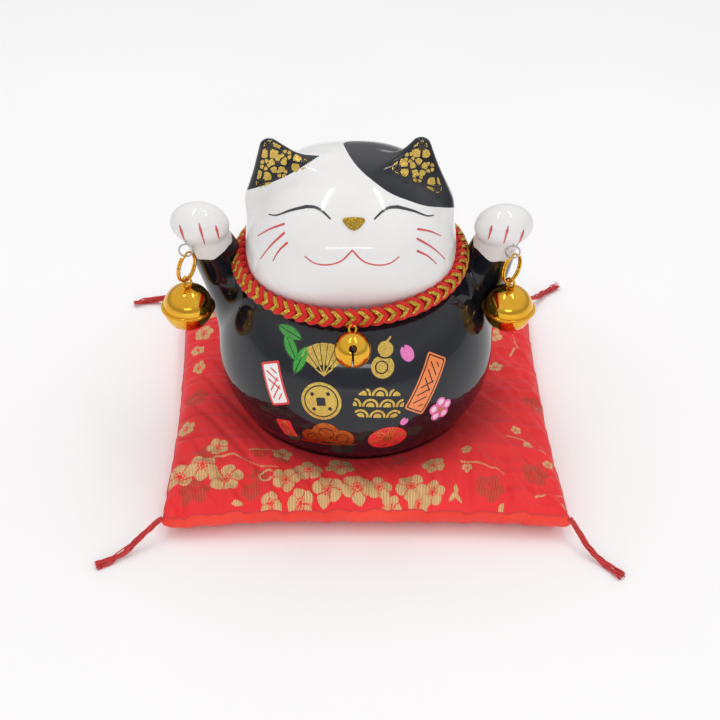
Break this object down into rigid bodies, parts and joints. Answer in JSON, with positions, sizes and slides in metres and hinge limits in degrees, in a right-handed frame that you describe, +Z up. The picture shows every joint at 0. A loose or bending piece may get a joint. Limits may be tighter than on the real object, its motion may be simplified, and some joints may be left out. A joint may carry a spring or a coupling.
{
  "type": "beckoning cat figurine",
  "caption": "Glazed ceramic cat coin bank with both paws raised, a braided collar with a bell and a bell hanging from each paw, sitting on a stuffed square cushion with corner tassels.",
  "frame": {"origin": "centre of the cushion's footprint, on the surface it stands on", "axes": "+Z up, the cat faces -Y, +X to the right of a person facing the cat"},
  "size_m": [0.1927, 0.201, 0.1324],
  "materials": {
    "satin": "plain woven satin, soft sheen",
    "brocade": "red brocade woven with pale gold plum blossom",
    "fibre": "loose polyester wadding",
    "red_thread": "twisted viscose thread",
    "black_glaze": "high gloss overglaze with fired colour and gold transfers",
    "white_glaze": "high gloss clear glaze over white body",
    "black_rubber": "matt moulded",
    "steel_wire": "bright drawn wire",
    "steel_ball": "rolled",
    "red_gold_braid": "round braid of red cord and metallic gold thread",
    "gold_plate": "polished, gold plated"
  },
  "bodies": {
    "cushion": {"cushion_filling": "fibre", "cushion_bottom_panel": "satin", "cushion_top_panel": "brocade", "tassel_front_left": "red_thread", "tassel_front_right": "red_thread", "tassel_back_left": "red_thread", "tassel_back_right": "red_thread"},
    "figurine": {"torso_shell": "black_glaze", "head_shell": "white_glaze", "left_arm": "black_glaze", "right_arm": "black_glaze", "left_eyelet": "steel_wire", "right_eyelet": "steel_wire", "collar_braid": "red_gold_braid", "collar_knot": "red_gold_braid"},
    "stopper": {"coin_stopper": "black_rubber"},
    "left_ring": {"left_split_ring": "gold_plate"},
    "left_bell": {"left_bell_upper": "gold_plate", "left_bell_lower": "gold_plate", "left_bell_loop": "gold_plate"},
    "left_pellet": {"left_bell_pellet": "steel_ball"},
    "right_ring": {"right_split_ring": "gold_plate"},
    "right_bell": {"right_bell_upper": "gold_plate", "right_bell_lower": "gold_plate", "right_bell_loop": "gold_plate"},
    "right_pellet": {"right_bell_pellet": "steel_ball"},
    "collar_tie": {"collar_bell_tie": "red_thread"},
    "collar_bell": {"collar_bell_shell": "gold_plate", "collar_bell_loop": "gold_plate"},
    "collar_pellet": {"collar_bell_pellet": "steel_ball"}
  },
  "joints": [
    {"name": "figurine_lift", "type": "slide", "parent": "cushion", "child": "figurine", "axis": [0, 0, 1], "range_m": [0, 0.15]},
    {"name": "stopper_pull", "type": "slide", "parent": "figurine", "child": "stopper", "axis": [0, 0, -1], "range_m": [0, 0.02]},
    {"name": "left_ring_swing", "type": "hinge", "parent": "figurine", "child": "left_ring", "pos_m": [-0.0674, -0.0149, 0.0854], "axis": [-1, 0, 0], "range_deg": [0, 30]},
    {"name": "left_bell_swing", "type": "hinge", "parent": "left_ring", "child": "left_bell", "pos_m": [-0.0674, -0.0149, 0.07439], "axis": [0.5, 0.866, 0], "range_deg": [-25, 25]},
    {"name": "left_pellet_roll", "type": "hinge", "parent": "left_bell", "child": "left_pellet", "pos_m": [-0.0674, -0.0149, 0.06334], "axis": [0.5, 0.866, 0], "range_deg": [-40, 40]},
    {"name": "right_ring_swing", "type": "hinge", "parent": "figurine", "child": "right_ring", "pos_m": [0.0546, -0.0149, 0.0854], "axis": [-1, 0, 0], "range_deg": [0, 25]},
    {"name": "right_bell_swing", "type": "hinge", "parent": "right_ring", "child": "right_bell", "pos_m": [0.0546, -0.0149, 0.07439], "axis": [-0.6428, -0.766, 0], "range_deg": [0, 25]},
    {"name": "right_pellet_roll", "type": "hinge", "parent": "right_bell", "child": "right_pellet", "pos_m": [0.0546, -0.0149, 0.06334], "axis": [-0.6428, -0.766, 0], "range_deg": [-40, 40]},
    {"name": "collar_tie_swing", "type": "hinge", "parent": "figurine", "child": "collar_tie", "pos_m": [-0.0062, -0.0516, 0.0794], "axis": [0, -0.7986, 0.6018], "range_deg": [-12, 12]},
    {"name": "collar_bell_swing", "type": "hinge", "parent": "collar_tie", "child": "collar_bell", "pos_m": [-0.0062, -0.0518, 0.07914], "axis": [-1, 0, 0], "range_deg": [0, 60]},
    {"name": "collar_pellet_roll", "type": "hinge", "parent": "collar_bell", "child": "collar_pellet", "pos_m": [-0.0062, -0.05712, 0.07207], "axis": [1, 0, 0], "range_deg": [-30, 30]}
  ],
  "couplings": [
    {"joint": "stopper_pull", "follows": "figurine_lift", "ratio": 0.13}
  ]
}
